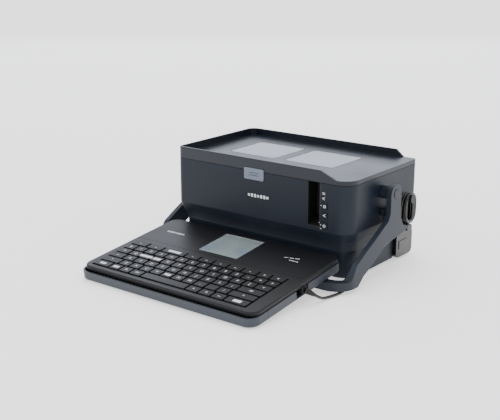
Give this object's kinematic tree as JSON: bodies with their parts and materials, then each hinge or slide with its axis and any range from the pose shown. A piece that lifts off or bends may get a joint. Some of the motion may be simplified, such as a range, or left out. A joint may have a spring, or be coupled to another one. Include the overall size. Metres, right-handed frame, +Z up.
{
  "type": "label maker",
  "caption": "Desktop label printer with a detachable tilted keyboard and screen, a lid with a tray and two windows, a tape exit and a folding carrying handle.",
  "frame": {"origin": "on the table, under the middle of the box round the object without its cord", "axes": "+X to the right along the front, +Y towards the rear, +Z up"},
  "size_m": [0.329, 0.3716, 0.147],
  "materials": {
    "housing": "fine moulded texture, slate grey",
    "lid": "fine moulded texture, dark slate grey",
    "window": "clear polycarbonate",
    "button": "light slate grey, satin",
    "black_plastic": "black, fine texture",
    "black_gloss": "black, glossy",
    "keyboard_top": "black, satin",
    "keyboard_grey": "mid slate grey, satin",
    "handle": "slate grey, fine texture",
    "key": "black, fine texture",
    "lcd": "display glass over a pale reflective screen",
    "screen": "pale grey-green screen",
    "steel": "plated steel",
    "rubber": "black rubber",
    "white_plastic": "ivory gear plastic",
    "cassette": "dark grey cassette case",
    "board": "green circuit board",
    "cord": "black cord jacket",
    "lamp": "translucent lamp lens"
  },
  "bodies": {
    "main_unit": {"base_housing": "housing", "upper_housing": "housing", "hinge_brackets": "steel", "hinge_pins": "steel", "button_spring": "steel", "exit_chute": "black_plastic", "status_lamps": "lamp", "inner_deck": "black_plastic", "tape_cassette": "cassette", "print_frame": "steel", "print_head": "steel", "drive_motor": "steel", "main_board": "board", "rubber_feet": "rubber", "rear_cover": "housing", "usb_socket": "steel", "power_jack": "black_plastic", "power_adapter": "black_gloss", "handle_bosses": "handle", "handle_pins": "steel", "cord_hook": "black_plastic", "keyboard_cord": "cord", "cord_tail": "cord", "cord_hank": "cord", "cord_tie": "cord", "keyboard_socket": "black_plastic", "cord_plug": "black_gloss"},
    "lid": {"top_cover": "lid", "left_window": "window", "right_window": "window", "latch_hook": "black_plastic"},
    "release": {"release_button": "button"},
    "power_key": {"power_button": "housing"},
    "feed_key": {"feed_button": "housing"},
    "link_key": {"link_button": "housing"},
    "roller": {"rubber_roller": "rubber", "roller_shaft": "steel"},
    "idler": {"idler_gear": "white_plastic"},
    "pinion": {"motor_pinion": "white_plastic"},
    "spool": {"tape_spool": "white_plastic"},
    "cutter": {"cutter_blade": "steel"},
    "handle": {"handle_bail": "handle"},
    "keyboard": {"keyboard_base": "keyboard_grey", "keyboard_front_rail": "keyboard_grey", "key_bezel": "keyboard_top", "display_panel": "keyboard_top", "lcd_module": "screen", "lcd_lens": "lcd", "keyboard_board": "board", "key_mat": "rubber", "keyboard_feet": "rubber", "cord_grommet": "rubber"},
    "bottom_keys_press": {"bottom_keys": "key"},
    "lower_letter_keys_press": {"lower_letter_keys": "key"},
    "home_letter_keys_press": {"home_letter_keys": "key"},
    "upper_letter_keys_press": {"upper_letter_keys": "key"},
    "number_keys_press": {"number_keys": "key"},
    "function_keys_press": {"function_keys": "key"},
    "space_bar_press": {"space_bar": "key"},
    "arrow_keys_press": {"arrow_keys": "key"}
  },
  "joints": [
    {"name": "lid_hinge", "type": "hinge", "parent": "main_unit", "child": "lid", "pos_m": [0, 0.183, 0.13075], "axis": [-1, 0, 0], "range_deg": [0, 80]},
    {"name": "release_press", "type": "slide", "parent": "main_unit", "child": "release", "axis": [0, 1, 0], "range_m": [0, 0.003], "stiffness_N_per_m": 300},
    {"name": "roller_spin", "type": "hinge", "parent": "main_unit", "child": "roller", "pos_m": [0.0953, 0.0532, 0.0765], "axis": [0, 0, 1], "continuous": true},
    {"name": "idler_spin", "type": "hinge", "parent": "main_unit", "child": "idler", "pos_m": [0.113, 0.0532, 0.0765], "axis": [0, 0, 1], "continuous": true},
    {"name": "pinion_spin", "type": "hinge", "parent": "main_unit", "child": "pinion", "pos_m": [0.1259, 0.0532, 0.0765], "axis": [0, 0, 1], "continuous": true},
    {"name": "spool_spin", "type": "hinge", "parent": "main_unit", "child": "spool", "pos_m": [0.028, 0.1002, 0.0765], "axis": [0, 0, 1], "continuous": true},
    {"name": "cutter_slide", "type": "slide", "parent": "main_unit", "child": "cutter", "axis": [-1, 0, 0], "range_m": [0, 0.0045]},
    {"name": "keyboard_lift", "type": "slide", "parent": "main_unit", "child": "keyboard", "axis": [0, -0.6, 0.8], "range_m": [0, 0.43]},
    {"name": "handle_swing", "type": "hinge", "parent": "main_unit", "child": "handle", "pos_m": [0, 0.0897, 0.1085], "axis": [-1, 0, 0], "range_deg": [0, 124]},
    {"name": "power_press", "type": "slide", "parent": "main_unit", "child": "power_key", "axis": [0, 1, 0], "range_m": [0, 0.0008], "stiffness_N_per_m": 200},
    {"name": "feed_press", "type": "slide", "parent": "main_unit", "child": "feed_key", "axis": [0, 1, 0], "range_m": [0, 0.0008], "stiffness_N_per_m": 200},
    {"name": "link_press", "type": "slide", "parent": "main_unit", "child": "link_key", "axis": [0, 1, 0], "range_m": [0, 0.0008], "stiffness_N_per_m": 200},
    {"name": "bottom_keys_travel", "type": "slide", "parent": "keyboard", "child": "bottom_keys_press", "axis": [0, 0.1097, -0.994], "range_m": [0, 0.002], "stiffness_N_per_m": 600, "springref_m": -0.001},
    {"name": "lower_letter_keys_travel", "type": "slide", "parent": "keyboard", "child": "lower_letter_keys_press", "axis": [0, 0.1097, -0.994], "range_m": [0, 0.002], "stiffness_N_per_m": 600, "springref_m": -0.001},
    {"name": "home_letter_keys_travel", "type": "slide", "parent": "keyboard", "child": "home_letter_keys_press", "axis": [0, 0.1097, -0.994], "range_m": [0, 0.002], "stiffness_N_per_m": 600, "springref_m": -0.001},
    {"name": "upper_letter_keys_travel", "type": "slide", "parent": "keyboard", "child": "upper_letter_keys_press", "axis": [0, 0.1097, -0.994], "range_m": [0, 0.002], "stiffness_N_per_m": 600, "springref_m": -0.001},
    {"name": "number_keys_travel", "type": "slide", "parent": "keyboard", "child": "number_keys_press", "axis": [0, 0.1097, -0.994], "range_m": [0, 0.002], "stiffness_N_per_m": 600, "springref_m": -0.001},
    {"name": "function_keys_travel", "type": "slide", "parent": "keyboard", "child": "function_keys_press", "axis": [0, 0.1097, -0.994], "range_m": [0, 0.002], "stiffness_N_per_m": 600, "springref_m": -0.001},
    {"name": "space_bar_travel", "type": "slide", "parent": "keyboard", "child": "space_bar_press", "axis": [0, 0.1097, -0.994], "range_m": [0, 0.002], "stiffness_N_per_m": 600, "springref_m": -0.001},
    {"name": "arrow_keys_travel", "type": "slide", "parent": "keyboard", "child": "arrow_keys_press", "axis": [0, 0.1097, -0.994], "range_m": [0, 0.002], "stiffness_N_per_m": 600, "springref_m": -0.001}
  ],
  "couplings": [
    {"joint": "idler_spin", "follows": "roller_spin", "ratio": -1.2},
    {"joint": "pinion_spin", "follows": "roller_spin", "ratio": 2},
    {"joint": "spool_spin", "follows": "roller_spin", "ratio": -0.25},
    {"joint": "handle_swing", "follows": "keyboard_lift", "rad_per_m": 5}
  ]
}
